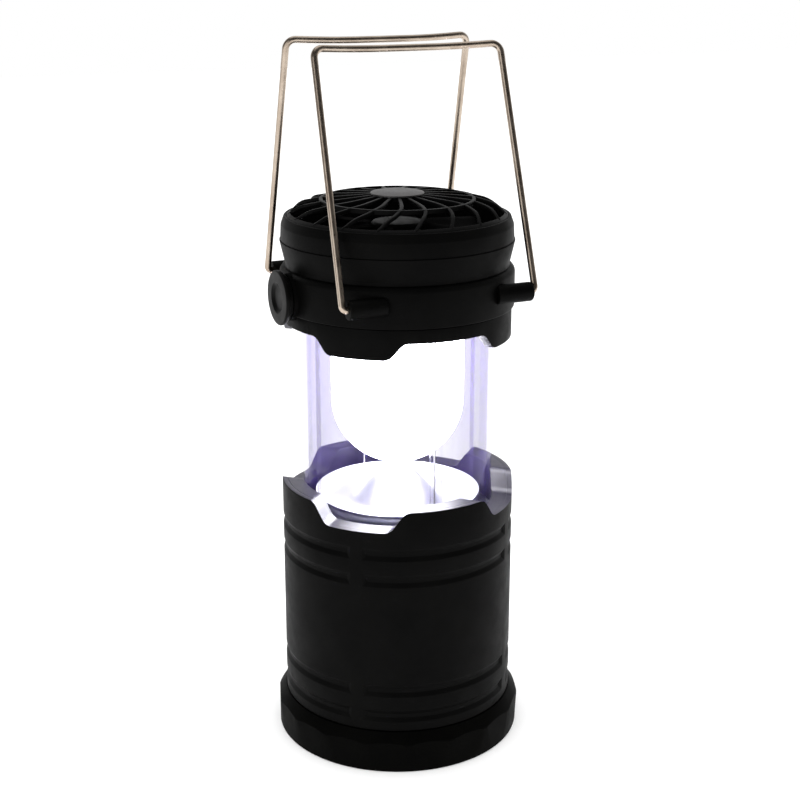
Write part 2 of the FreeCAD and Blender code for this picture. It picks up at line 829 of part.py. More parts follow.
def make_motor():
    cradle_outer = motor_radius + cradle_wall
    flange = cradle_outer + cradle_flange
    cradle = turned([
        (0, deck_top), (flange, deck_top), (flange, motor_bottom, fine_round),
        (cradle_outer, motor_bottom), (cradle_outer, deck_top + cradle_height, edge_round),
        (motor_radius + bond_gap, deck_top + cradle_height),
        (motor_radius + bond_gap, motor_bottom), (0, motor_bottom),
    ])
    holes = []
    screws = []
    for angle in even_angles(cradle_screw_count):
        holes.append(spun(disc(screw_shank_radius, deck_top, motor_bottom, cradle_screw_circle), angle))
        screws.append(screw(cradle_screw_circle, angle, motor_bottom, cradle_screw_length, True))
    write("motor_cradle", [cradle.cut(holes)])
    write("cradle_screws", screws)
    shoulder = motor_top - motor_nose_height
    can = turned([
        (0, motor_bottom), (motor_radius, motor_bottom, edge_round),
        (motor_radius, shoulder, motor_round), (motor_nose_radius, shoulder),
        (motor_nose_radius, motor_top), (0, motor_top),
    ])
    bore = disc(shaft_radius + running_gap, motor_top - shaft_in_motor - hole_end_gap, motor_top)
    write("fan_motor", [can.cut(bore)])


def make_fan():
    fan_top = fan_bottom + fan_hub_height
    shaft_top = fan_top - shaft_cover
    boss_bottom = fan_bottom + fan_hub_boss_lift
    hub_bore = fan_hub_radius - fan_hub_wall
    ceiling = fan_top - fan_hub_wall
    write("motor_shaft", [disc(shaft_radius, motor_top - shaft_in_motor, shaft_top)])
    hub = turned([
        (0, boss_bottom), (fan_hub_boss, boss_bottom), (fan_hub_boss, ceiling),
        (hub_bore, ceiling), (hub_bore, fan_bottom), (fan_hub_radius, fan_bottom),
        (fan_hub_radius, fan_top, fan_hub_round), (0, fan_top),
    ])
    hub = hub.cut(disc(shaft_radius, fan_bottom, shaft_top))
    tip = shroud_bore - fan_tip_gap
    middle = fan_bottom + fan_hub_height / 2
    plate = block(0, tip + overcut, -blade_chord / 2, blade_chord / 2,
                  middle - blade_thickness / 2, middle + blade_thickness / 2)
    plate.rotate(Vector(0, 0, middle), Vector(1, 0, 0), blade_pitch)
    sweep = ring(fan_hub_radius - fan_hub_wall / 2, tip, fan_bottom + blade_margin,
                 fan_top - blade_margin)
    blade = plate.common(sweep)
    blades = around(blade, even_angles(blade_count))
    write("fan_impeller", [hub.fuse(blades).removeSplitter()])


def make_control():
    outward_x = Vector(-1, 0, 0)
    length = knob_neck_length + knob_flange_length
    knob = turned([
        (0, 0), (knob_neck_radius, 0, fine_round), (knob_neck_radius, knob_neck_length),
        (knob_flange_radius, knob_neck_length, fine_round), (knob_flange_radius, length, edge_round),
        (knob_dish_radius, length, edge_round),
        (knob_dish_radius - knob_dish_slope, length - knob_dish_depth, knob_dish_slope),
        (0, length - knob_dish_depth),
    ])
    back = knob_seat + seam_gap
    knob = knob.cut(disc(knob_shaft_radius, 0, knob_neck_length))
    knob.rotate(Vector(0, 0, 0), Vector(0, 1, 0), -90)
    knob.translate(Vector(-back, 0, knob_height))
    write("control_knob", [knob])
    front = head_bore - dimmer_stand_off
    inner_end = front - dimmer_bore_depth + hole_end_gap
    shaft = Part.makeCylinder(knob_shaft_radius, back + knob_neck_length - inner_end,
                              Vector(-inner_end, 0, knob_height), outward_x)
    write("knob_shaft", [shaft])
    box = block(-front, -front + dimmer_depth, -dimmer_width / 2, dimmer_width / 2,
                deck_top, deck_top + dimmer_height)
    bore = Part.makeCylinder(knob_shaft_radius + running_gap, dimmer_bore_depth,
                             Vector(-front + dimmer_bore_depth, 0, knob_height), outward_x)
    write("dimmer", [box.cut(bore)])


def make_handle(name, side, lean_angle):
    """Bent wire bail; side is -1 for the front one and 1 for the back one."""
    lean = math.radians(lean_angle)
    along = Vector(0, -side * math.sin(lean), math.cos(lean))
    inward = Vector(0, -side * math.cos(lean), -math.sin(lean))
    pivot = Vector(0, side * pivot_offset, pivot_height)
    foot_x = boss_tip + leg_gap + wire_radius
    top_x = foot_x - leg_taper
    stub_x = boss_tip - stub_length
    foot_bend = foot_x - boss_tip - bond_gap
    half = [(stub_x, 0, 0, 0), (foot_x, 0, 0, foot_bend), (top_x, handle_length, 0, bar_corner),
            (bar_bow_place, handle_length, bar_bow, bar_bow_round)]
    path = half + [(-x, up, bow, bend) for x, up, bow, bend in reversed(half)]
    corners = [pivot + Vector(x, 0, 0) + along * up + inward * bow for x, up, bow, bend in path]
    spine = rounded_path(corners, [row[3] for row in path], False)
    section = Part.Wire(Part.makeCircle(wire_radius, corners[0], Vector(1, 0, 0)))
    wire = spine.makePipeShell([section], True, False)
    write(name, [outward(wire)])


os.makedirs("parts", exist_ok=True)
make_base_shell()
make_guide_collar()
make_base_cap()
make_battery_tray()
make_contact_rails()
make_chamber()
make_chamber_foot()
make_reflector()
make_lamp()
make_head_collar()
make_deck()
make_fan_housing()
make_guard()
make_motor()
make_fan()
make_control()
make_handle("handle_front", -1, front_lean)
make_handle("handle_back", 1, back_lean)
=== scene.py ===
import json
import math

import bmesh
import bpy
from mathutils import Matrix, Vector


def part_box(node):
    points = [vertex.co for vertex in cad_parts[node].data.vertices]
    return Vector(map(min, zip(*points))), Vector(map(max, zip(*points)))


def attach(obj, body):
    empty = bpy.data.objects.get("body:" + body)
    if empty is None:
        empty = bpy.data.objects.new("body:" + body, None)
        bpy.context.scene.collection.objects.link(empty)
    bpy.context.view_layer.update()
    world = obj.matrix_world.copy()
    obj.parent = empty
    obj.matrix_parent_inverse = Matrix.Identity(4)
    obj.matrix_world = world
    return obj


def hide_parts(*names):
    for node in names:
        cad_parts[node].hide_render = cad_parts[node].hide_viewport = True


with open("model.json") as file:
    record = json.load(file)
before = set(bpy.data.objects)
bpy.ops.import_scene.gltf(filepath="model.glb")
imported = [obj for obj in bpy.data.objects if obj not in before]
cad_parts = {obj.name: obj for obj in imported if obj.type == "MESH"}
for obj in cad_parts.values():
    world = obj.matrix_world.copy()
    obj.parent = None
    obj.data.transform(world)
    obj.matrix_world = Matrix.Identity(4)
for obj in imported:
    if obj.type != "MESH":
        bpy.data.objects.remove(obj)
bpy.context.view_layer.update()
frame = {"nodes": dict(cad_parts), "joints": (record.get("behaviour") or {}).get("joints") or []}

# A collapsible camping lantern, finished over its working frame.
# Lengths in the making are in millimetres and become metres by MM.
MM = 0.001
POLE = 0.004            # radius at which a turned outline meets the axis
WELD = 0.00001
FINE = 240              # segments round the large turned pieces
COARSE = 120
CORNERS = (45, 135, 225, 315)


# ---------------------------------------------------------------- bench tools

def span(node):
    """Outer radius, lowest and highest level of a node, in millimetres."""
    low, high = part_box(node)
    return high.y / MM, low.z / MM, high.z / MM


def clear_choice():
    bpy.ops.object.select_all(action="DESELECT")


def take(piece):
    clear_choice()
    piece.select_set(True)
    bpy.context.view_layer.objects.active = piece


def open_mesh(piece):
    take(piece)
    bpy.ops.object.mode_set(mode="EDIT")
    bpy.ops.mesh.select_mode(type="VERT")


def close_mesh():
    bpy.ops.object.mode_set(mode="OBJECT")


def settle(piece):
    """Puts the piece's place into its mesh."""
    take(piece)
    bpy.ops.object.transform_apply(location=True, rotation=True, scale=True)


def pick_faces(piece, test):
    """Selects the faces whose middle and normal pass the test."""
    bpy.ops.mesh.select_mode(type="FACE")
    bpy.ops.mesh.select_all(action="DESELECT")
    mesh = bmesh.from_edit_mesh(piece.data)
    for face in mesh.faces:
        face.select_set(test(face.calc_center_median(), face.normal))
    bmesh.update_edit_mesh(piece.data)


def pick_points(piece, test):
    bpy.ops.mesh.select_mode(type="VERT")
    bpy.ops.mesh.select_all(action="DESELECT")
    mesh = bmesh.from_edit_mesh(piece.data)
    for vertex in mesh.verts:
        vertex.select_set(test(vertex.co))
    mesh.select_flush(True)
    bmesh.update_edit_mesh(piece.data)


def close_skin():
    """Welds what meets and points every face outwards."""
    bpy.ops.mesh.select_all(action="SELECT")
    bpy.ops.mesh.remove_doubles(threshold=WELD)
    bpy.ops.mesh.delete_loose()
    bpy.ops.mesh.select_all(action="SELECT")
    bpy.ops.mesh.normals_make_consistent(inside=False)
    close_mesh()


def turn(angle, axis="Z", centre=(0, 0, 0)):
    """Right-handed turn of the selection, in degrees."""
    bpy.ops.transform.rotate(value=-math.radians(angle), orient_axis=axis, center_override=centre)


def rounded(corners, steps=4):
    """Outline in which a corner's third number is its radius."""
    points = []
    count = len(corners)
    for i, corner in enumerate(corners):
        here = Vector(corner[:2])
        if len(corner) < 3:
            points.append(here)
            continue
        back = (Vector(corners[i - 1][:2]) - here).normalized()
        ahead = (Vector(corners[(i + 1) % count][:2]) - here).normalized()
        half = back.angle(ahead) / 2
        centre = here + (back + ahead).normalized() * (corner[2] / math.sin(half))
        start = here + back * (corner[2] / math.tan(half)) - centre
        finish = here + ahead * (corner[2] / math.tan(half)) - centre
        first = math.atan2(start.y, start.x)
        sweep = (math.atan2(finish.y, finish.x) - first + math.pi) % (2 * math.pi) - math.pi
        for step in range(steps + 1):
            angle = first + sweep * step / steps
            points.append(centre + Vector((math.cos(angle), math.sin(angle))) * corner[2])
    return points


def lathe(name, outline, segments=FINE, steps=4):
    """Turns a closed (radius, height) outline about the lantern's axis."""
    points = [(max(point.x, POLE) * MM, point.y * MM) for point in rounded(outline, steps)]
    radius, height = points[0]
    clear_choice()
    bpy.ops.mesh.primitive_circle_add(vertices=segments, radius=radius, location=(0, 0, height))
    piece = bpy.context.active_object
    piece.name = name
    settle(piece)
    open_mesh(piece)
    bpy.ops.mesh.select_all(action="SELECT")
    for next_radius, next_height in points[1:] + points[:1]:
        bpy.ops.mesh.extrude_region_move()
        ratio = next_radius / radius
        bpy.ops.transform.resize(value=(ratio, ratio, 1), center_override=(0, 0, height))
        bpy.ops.transform.translate(value=(0, 0, next_height - height))
        radius, height = next_radius, next_height
    close_skin()
    return piece


def board(name, outline, start, depth, steps=4):
    """Prism with an (across, up) outline, thick along +X from start."""
    points = rounded(outline, steps)
    clear_choice()
    bpy.ops.mesh.primitive_circle_add(vertices=len(points), radius=MM, location=(start * MM, 0, 0))
    piece = bpy.context.active_object
    piece.name = name
    settle(piece)
    open_mesh(piece)
    for index, point in enumerate(points):
        bpy.ops.mesh.select_all(action="DESELECT")
        mesh = bmesh.from_edit_mesh(piece.data)
        mesh.verts.ensure_lookup_table()
        corner = mesh.verts[index]
        corner.select_set(True)
        move = Vector((start, point.x, point.y)) * MM - corner.co
        bpy.ops.transform.translate(value=move)
    bpy.ops.mesh.select_all(action="SELECT")
    bpy.ops.mesh.edge_face_add()
    bpy.ops.mesh.extrude_region_move(TRANSFORM_OT_translate={"value": (depth * MM, 0, 0)})
    close_skin()
    return piece


def rod(name, radius, start, end, sides=48):
    """Round bar between two points, in millimetres."""
    start, end = Vector(start) * MM, Vector(end) * MM
    clear_choice()
    bpy.ops.mesh.primitive_cylinder_add(vertices=sides, radius=radius * MM,
                                        depth=(end - start).length, location=(start + end) / 2)
    piece = bpy.context.active_object
    piece.name = name
    piece.rotation_mode = "QUATERNION"
    piece.rotation_quaternion = (end - start).to_track_quat("Z", "Y")
    settle(piece)
    return piece


def repeat(piece, angles):
    """Copies of a piece round the axis, joined with it."""
    copies = [piece]
    for angle in angles[1:]:
        copy = piece.copy()
        copy.data = piece.data.copy()
        bpy.context.collection.objects.link(copy)
        copies.append(copy)
    for copy, angle in zip(copies, angles):
        open_mesh(copy)
        bpy.ops.mesh.select_all(action="SELECT")
        turn(angle)
        close_mesh()
    return join(copies)


def join(pieces):
    clear_choice()
    for piece in pieces:
        piece.select_set(True)
    bpy.context.view_layer.objects.active = pieces[0]
    bpy.ops.object.join()
    return bpy.context.active_object


def carve(piece, tool, operation="DIFFERENCE"):
    """Cuts, adds or keeps what a tool piece covers, and clears the tool away."""
    modifier = piece.modifiers.new("carve", "BOOLEAN")
    modifier.operation = operation
    modifier.solver = "EXACT"
    modifier.object = tool
    modifier.use_self = True
    take(piece)
    bpy.ops.object.modifier_apply(modifier=modifier.name)
    bpy.data.objects.remove(tool, do_unlink=True)


def soften(piece, width, angle=42, segments=2):
    """Rounds the hard edges."""
    modifier = piece.modifiers.new("soften", "BEVEL")
    modifier.limit_method = "ANGLE"
    modifier.angle_limit = math.radians(angle)
    modifier.width = width * MM
    modifier.segments = segments
    modifier.use_clamp_overlap = True
    take(piece)
    bpy.ops.object.modifier_apply(modifier=modifier.name)


def finish_piece(piece, material, body, nodes, smooth=35):
    """Shades, paints and places a piece that stands for CAD nodes."""
    take(piece)
    bpy.ops.object.shade_smooth_by_angle(angle=math.radians(smooth))
    piece.data.materials.clear()
    piece.data.materials.append(material)
    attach(piece, body)
    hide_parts(*nodes)


# ---------------------------------------------------------------- finishes

def blank(name):
    material = bpy.data.materials.new(name)
    material.use_nodes = True
    return material, material.node_tree, material.node_tree.nodes["Principled BSDF"]


def add(tree, kind, settings=None, **inputs):
    """A node with its settings and unlinked inputs set."""
    node = tree.nodes.new(kind)
    for key, value in (settings or {}).items():
        setattr(node, key, value)
    for key, value in inputs.items():
        node.inputs[key.replace("_", " ")].default_value = value
    return node


def noise(tree, scale, detail=3.0, roughness=0.5, stretch=None):
    """Noise on the piece's own coordinates, stretched along its axes if asked."""
    place = add(tree, "ShaderNodeTexCoord")
    pattern = add(tree, "ShaderNodeTexNoise", Scale=scale, Detail=detail, Roughness=roughness)
    if stretch:
        mapping = add(tree, "ShaderNodeMapping", Scale=stretch)
        tree.links.new(place.outputs["Object"], mapping.inputs["Vector"])
        tree.links.new(mapping.outputs["Vector"], pattern.inputs["Vector"])
    else:
        tree.links.new(place.outputs["Object"], pattern.inputs["Vector"])
    return pattern


def ramp(tree, source, stops):
    """Colours along a pattern's strength."""
    node = add(tree, "ShaderNodeValToRGB")
    band = node.color_ramp
    while len(band.elements) < len(stops):
        band.elements.new(0.5)
    for element, (place, colour) in zip(band.elements, stops):
        element.position = place
        element.color = (*colour, 1)
    tree.links.new(source.outputs["Fac"], node.inputs["Fac"])
    return node


def spread(tree, source, low, high, source_low=0.3, source_high=0.7):
    """A pattern's strength carried to a new range."""
    node = add(tree, "ShaderNodeMapRange", From_Min=source_low, From_Max=source_high,
               To_Min=low, To_Max=high)
    tree.links.new(source.outputs["Fac"], node.inputs["Value"])
    return node


def bumps(tree, shader, source, height, before=None):
    """Small relief, laid over an earlier one."""
    node = add(tree, "ShaderNodeBump", Strength=1.0, Distance=height * MM)
    tree.links.new(source.outputs["Fac"], node.inputs["Height"])
    if before:
        tree.links.new(before.outputs["Normal"], node.inputs["Normal"])
    tree.links.new(node.outputs["Normal"], shader.inputs["Normal"])
    return node


def moulded(name, dark, light, rough=(0.42, 0.56), grain_height=0.010, specular=0.036, grain_scale=2600):
    """Moulded plastic: a spark-eroded grain, faint scuffs and uneven gloss."""
    material, tree, shader = blank(name)
    patches = noise(tree, 55, 4, 0.6)
    tint = ramp(tree, patches, [(0.3, dark), (0.72, light)])
    tree.links.new(tint.outputs["Color"], shader.inputs["Base Color"])
    gloss = spread(tree, noise(tree, 130, 5, 0.65), rough[0], rough[1])
    tree.links.new(gloss.outputs["Result"], shader.inputs["Roughness"])
    shader.inputs["Specular IOR Level"].default_value = specular
    grain = noise(tree, grain_scale, 2, 0.5)
    first = bumps(tree, shader, grain, grain_height)
    scuffs = noise(tree, 240, 6, 0.7, (1.0, 1.0, 0.12))
    bumps(tree, shader, scuffs, grain_height * 0.6, first)
    return material


def metal(name, colour, shade, rough, stretch, grain_height=0.004, scale=900):
    """Plated or drawn metal with fine draw lines and slight tarnish."""
    material, tree, shader = blank(name)
    shader.inputs["Metallic"].default_value = 1.0
    tarnish = noise(tree, 90, 5, 0.6)
    tint = ramp(tree, tarnish, [(0.32, shade), (0.62, colour)])
    tree.links.new(tint.outputs["Color"], shader.inputs["Base Color"])
    lines = noise(tree, scale, 3, 0.6, stretch)
    gloss = spread(tree, lines, rough[0], rough[1])
    tree.links.new(gloss.outputs["Result"], shader.inputs["Roughness"])
    bumps(tree, shader, lines, grain_height)
    return material


def clear_plastic(name):
    """Clear tube: nearly open face on, denser and lilac at a slant."""
    material, tree, shader = blank(name)
    cloud = noise(tree, 30, 2, 0.5)
    tint = ramp(tree, cloud, [(0.3, (0.018, 0.010, 0.070)), (0.7, (0.026, 0.016, 0.090))])
    tree.links.new(tint.outputs["Color"], shader.inputs["Base Color"])
    shader.inputs["Specular IOR Level"].default_value = 0.5
    gloss = spread(tree, noise(tree, 160, 4, 0.6), 0.03, 0.09)
    tree.links.new(gloss.outputs["Result"], shader.inputs["Roughness"])
    slant = add(tree, "ShaderNodeLayerWeight", Blend=0.45)
    cover = add(tree, "ShaderNodeMapRange", From_Min=0.0, From_Max=1.0, To_Min=0.09, To_Max=0.34)
    tree.links.new(slant.outputs["Facing"], cover.inputs["Value"])
    tree.links.new(cover.outputs["Result"], shader.inputs["Alpha"])
    bumps(tree, shader, noise(tree, 60, 2, 0.4, (1.0, 1.0, 0.3)), 0.01)
    return material


def glowing(name, colour, shade, strength):
    """Lit frosted plastic with a faint sandblasted unevenness."""
    material, tree, shader = blank(name)
    frost = noise(tree, 420, 3, 0.6)
    tint = ramp(tree, frost, [(0.3, shade), (0.7, colour)])
    tree.links.new(tint.outputs["Color"], shader.inputs["Base Color"])
    tree.links.new(tint.outputs["Color"], shader.inputs["Emission Color"])
    shader.inputs["Emission Strength"].default_value = strength
    gloss = spread(tree, frost, 0.5, 0.7)
    tree.links.new(gloss.outputs["Result"], shader.inputs["Roughness"])
    bumps(tree, shader, frost, 0.01)
    return material


def mirror_plated(name):
    """Vacuum-plated plastic: a bright mirror with slight ripple and haze."""
    material, tree, shader = blank(name)
    shader.inputs["Metallic"].default_value = 1.0
    haze = noise(tree, 70, 4, 0.6)
    tint = ramp(tree, haze, [(0.3, (0.78, 0.79, 0.86)), (0.7, (0.90, 0.90, 0.95))])
    tree.links.new(tint.outputs["Color"], shader.inputs["Base Color"])
    gloss = spread(tree, haze, 0.34, 0.46)
    tree.links.new(gloss.outputs["Result"], shader.inputs["Roughness"])
    bumps(tree, shader, noise(tree, 45, 2, 0.4), 0.03)
    return material


BLACK = ((0.0010, 0.0010, 0.0010), (0.0019, 0.0019, 0.0017))
housing_black = moulded("housing_black", *BLACK)
# Copy of the black plastic for faces near the chamber: its higher gloss is the plastic's own, its lilac tint
# is painted lamp light from the glowing chamber.
lamp_lit_black = moulded("lamp_lit_black", (0.008, 0.007, 0.013), (0.012, 0.011, 0.019), (0.30, 0.42), 0.006, 0.5)
cap_black = moulded("cap_black", (0.0007, 0.0007, 0.0006), (0.0014, 0.0014, 0.0011),
                    (0.46, 0.6), 0.010, 0.022)
knob_black = moulded("knob_black", *BLACK, (0.34, 0.48), 0.006, 0.06)
fan_black = moulded("fan_black", (0.0006, 0.0006, 0.0006), (0.0012, 0.0012, 0.0012), (0.3, 0.45), 0.004, 0.03)
guard_black = moulded("guard_black", (0.0012, 0.0012, 0.0012), (0.0024, 0.0024, 0.0024),
                      (0.34, 0.48), 0.005, 0.05)
inner_grey = moulded("inner_grey", (0.05, 0.05, 0.05), (0.08, 0.08, 0.08))
deck_white = moulded("deck_white", (0.70, 0.70, 0.74), (0.82, 0.82, 0.86), (0.4, 0.5), 0.006, 0.5)
board_white = moulded("board_white", (0.74, 0.74, 0.72), (0.84, 0.84, 0.82), (0.3, 0.4), 0.004, 0.5)
dimmer_blue = moulded("dimmer_blue", (0.03, 0.07, 0.16), (0.05, 0.10, 0.22), (0.3, 0.4), 0.004, 0.5)
cell_sleeve = moulded("cell_sleeve", (0.05, 0.055, 0.06), (0.09, 0.095, 0.10), (0.2, 0.32), 0.003, 0.5, 800)
seal_black = moulded("seal_black", (0.012, 0.012, 0.012), (0.022, 0.022, 0.022), (0.7, 0.85), 0.012, 0.3)
wire_nickel = metal("wire_nickel", (0.52, 0.44, 0.36), (0.36, 0.29, 0.23), (0.26, 0.38), (1, 1, 0.08))
disc_satin = metal("disc_satin", (0.17, 0.165, 0.165), (0.13, 0.127, 0.127),
                   (0.42, 0.55), (1, 1, 1), 0.004, 1500)
contact_nickel = metal("contact_nickel", (0.66, 0.65, 0.62), (0.50, 0.49, 0.47), (0.25, 0.38), (1, 1, 0.1))
screw_zinc = metal("screw_zinc", (0.56, 0.56, 0.58), (0.42, 0.42, 0.44), (0.3, 0.42), (1, 1, 1))
motor_steel = metal("motor_steel", (0.60, 0.60, 0.61), (0.48, 0.48, 0.49), (0.26, 0.40), (1, 1, 0.1))
plate_aluminium = metal("plate_aluminium", (0.78, 0.78, 0.79), (0.68, 0.68, 0.69), (0.35, 0.5), (1, 0.1, 1))
tube_clear = clear_plastic("tube_clear")
diffuser_glow = glowing("diffuser_glow", (1.0, 0.99, 1.0), (0.90, 0.89, 1.0), 26.0)
chip_glow = glowing("chip_glow", (1.0, 0.97, 0.86), (0.95, 0.86, 0.55), 2.0)
reflector_mirror = mirror_plated("reflector_mirror")


# ---------------------------------------------------------------- base

RIM_NOTCH = 7.6          # depth of the notches in the rim
NOTCH_FLOOR = 12.2       # half widths of a notch
NOTCH_MOUTH = 17.4
CASTLE_ROUND = 4.0
CUT_CLEAR = 0.05        # a cutter's shoulder above the edge that it rounds
TOOL_START = 24         # cutters begin this far from the axis
ARC_STEPS = 8
COLLAR_SEAT = 10.0
SHELL_SKIN = 2.0
CAP_SEAM = 15.2


def notch_tools(top, reach):
    """Four tools that open the notches at the corners of the rim."""
    floor = top - RIM_NOTCH
    wide = NOTCH_MOUTH + CASTLE_ROUND
    mouth = top + CUT_CLEAR
    tool = board("notch_tool", [
        (-NOTCH_FLOOR, floor, CASTLE_ROUND), (NOTCH_FLOOR, floor, CASTLE_ROUND),
        (NOTCH_MOUTH, mouth, CASTLE_ROUND), (wide, mouth), (wide, top + 3), (-wide, top + 3),
        (-wide, mouth), (-NOTCH_MOUTH, mouth, CASTLE_ROUND),
    ], TOOL_START, reach - TOOL_START, ARC_STEPS)
    return repeat(tool, CORNERS)


def make_base_shell():
    radius, low, top = span("base_shell")
    bore = radius - 2.8
    tray_ledge = 18.55
    spigot = radius - 1.5
    spigot_bore = spigot - 4.3
    levels = [CAP_SEAM + 5.8, CAP_SEAM + 15.8, top - 26, top - 16]
    half_groove = 2.3
    groove_slope = 1.6
    groove_depth = 0.85
    outline = [(spigot_bore, low), (spigot, low), (spigot, CAP_SEAM), (radius, CAP_SEAM, 0.3)]
    for level in levels:
        outline += [(radius, level - half_groove), (radius, level + half_groove)]
    outline += [(radius, top, 0.45), (radius - SHELL_SKIN, top), (radius - SHELL_SKIN, top - COLLAR_SEAT),
                (bore, top - COLLAR_SEAT), (bore, tray_ledge), (spigot_bore, tray_ledge)]
    shell = lathe("base_housing", outline)
    open_mesh(shell)

    def in_groove(middle, normal):
        if math.hypot(middle.x, middle.y) < (radius - 0.3) * MM:
            return False
        corner_angle = (math.degrees(math.atan2(middle.y, middle.x)) - 45) % 90
        if min(corner_angle, 90 - corner_angle) < 3:
            return False
        return any(abs(middle.z / MM - level) < half_groove for level in levels)

    pick_faces(shell, in_groove)
    bpy.ops.mesh.inset(thickness=groove_slope * MM, depth=-groove_depth * MM)
    close_mesh()
    soften(shell, 0.7, 25, 3)
    carve(shell, notch_tools(top, radius + 4))
    finish_piece(shell, housing_black, "base", ["base_shell"])
    # The rim's top, notch and inner faces take the black copy with painted lamp light.
    shell.data.materials.append(lamp_lit_black)
    open_mesh(shell)
    pick_faces(shell, lambda middle, normal: middle.z / MM > top - 8.5
               and math.hypot(middle.x, middle.y) / MM < radius - 0.02
               and Vector((middle.x, middle.y, 0)).normalized().dot(normal) < 0.8)
    shell.active_material_index = 1
    bpy.ops.object.material_slot_assign()
    close_mesh()


def make_rim_collar():
    radius, low, top = span("guide_collar")
    bore = radius - 5.55
    collar = lathe("rim_collar", [
        (bore, low, 0.4), (radius - 0.8, low), (radius - 0.8, top - COLLAR_SEAT),
        (radius, top - COLLAR_SEAT), (radius, top), (bore, top, 0.6),
    ])
    carve(collar, notch_tools(top, radius + 4))
    # The whole collar takes the black copy with painted lamp light.
    finish_piece(collar, lamp_lit_black, "base", ["guide_collar"])


def make_battery_cap():
    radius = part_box("base_cap")[1].y / MM
    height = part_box("base_cap")[1].z / MM
    wall = 41.9
    shoulder = 11.0
    foot = radius - 0.5
    cap = lathe("battery_cap", [
        (0, 0), (foot, 0, 0.7), (radius, shoulder, 1.2), (radius - 3.2, height, 0.25),
        (wall, height), (wall, 2.0), (0, 2.0),
    ])
    clear_choice()
    bpy.ops.mesh.primitive_cylinder_add(vertices=18, radius=(radius + 0.12) * MM, depth=60 * MM)
    facets = bpy.context.active_object
    carve(cap, facets, "INTERSECT")
    soften(cap, 0.5, 12, 3)
    finish_piece(cap, cap_black, "cap", ["base_cap"], 30)


# ---------------------------------------------------------------- chamber and lamp

RIB_HALF = 2.2
RIB_DEPTH = 1.7


def make_chamber():
    radius, low, top = span("clear_chamber")
    bore = radius - 1.8
    tube = lathe("clear_tube", [(bore, low), (radius, low), (radius, top), (bore, top)])
    inner = bore - RIB_DEPTH
    rib = board("tube_rib", [(-RIB_HALF, low), (RIB_HALF, low), (RIB_HALF, top), (-RIB_HALF, top)],
                inner, RIB_DEPTH + 0.9)
    carve(tube, repeat(rib, (0, 90, 180, 270)), "UNION")
    soften(tube, 0.3, 50, 2)
    finish_piece(tube, tube_clear, "head", ["clear_chamber"])


def make_chamber_foot():
    radius, low, pillar_top = span("chamber_foot")
    tube = span("clear_chamber")[0] + 0.05
    top = low + 5.1
    foot = lathe("tube_foot", [
        (0, low), (radius, low, 0.4), (radius, top, 0.4), (tube, top), (tube, low + 1.5),
        (22, low + 1.5), (22, pillar_top), (20, pillar_top), (20, low + 1.5), (0, low + 1.5),
    ])
    finish_piece(foot, reflector_mirror, "head", ["chamber_foot"])


def make_reflector():
    radius, low, peak = span("reflector")
    sheet = 1.2
    floor = low + sheet - 0.1
    upper = [(0, peak), (6.0, peak - 1.3, 6.0), (17.0, floor, 5.0),
             (radius - 4.5, floor, 3.0), (radius, floor + 4.5)]
    under = [(point[0], point[1] - sheet) + point[2:] for point in reversed(upper)]
    dish = lathe("mirror_dish", upper + under, COARSE, 8)
    soften(dish, 0.15, 50, 2)
    finish_piece(dish, reflector_mirror, "head", ["reflector"], 50)


def make_diffuser():
    flange, low, top = span("diffuser")
    radius = flange - 1.2
    inner = radius - 1.5
    bulb = lathe("frosted_bulb", [
        (0, low), (radius, low, radius - 0.01), (radius, top - 1.2), (flange, top - 1.2, 0.2),
        (flange, top), (inner, top), (inner, low + 1.5, inner - 0.01), (0, low + 1.5),
    ], COARSE, 24)
    finish_piece(bulb, diffuser_glow, "head", ["diffuser"], 60)


# ---------------------------------------------------------------- head

TAB_DEPTH = 5.9
TAB_FOOT = 11.4
TAB_ROOT = 16.2


